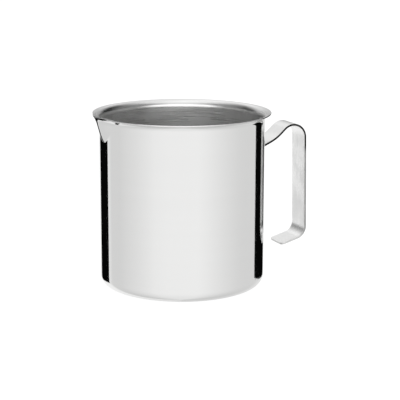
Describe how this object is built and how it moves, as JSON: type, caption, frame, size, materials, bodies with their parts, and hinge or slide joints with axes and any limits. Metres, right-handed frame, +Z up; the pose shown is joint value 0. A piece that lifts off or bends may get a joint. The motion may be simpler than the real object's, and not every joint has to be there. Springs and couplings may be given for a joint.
{
  "type": "candle melting pot",
  "caption": "Straight-sided polished steel pouring pot with a turned-out lip, a pressed V spout and an open strip handle spot welded opposite it.",
  "frame": {"origin": "on the pot's axis, on the plane that its base stands on", "axes": "+Z up along the pot's axis, +X towards the handle, so the spout is at -X"},
  "size_m": [0.1652, 0.129, 0.128],
  "materials": {
    "polished_steel": "mirror polished outside, satin inside",
    "handle_steel": "fine satin",
    "weld_steel": "as welded"
  },
  "bodies": {
    "root": {"pot_body": "polished_steel", "handle": "handle_steel", "spot_weld_upper_left": "weld_steel", "spot_weld_upper_right": "weld_steel", "spot_weld_lower_left": "weld_steel", "spot_weld_lower_right": "weld_steel"}
  },
  "joints": []
}
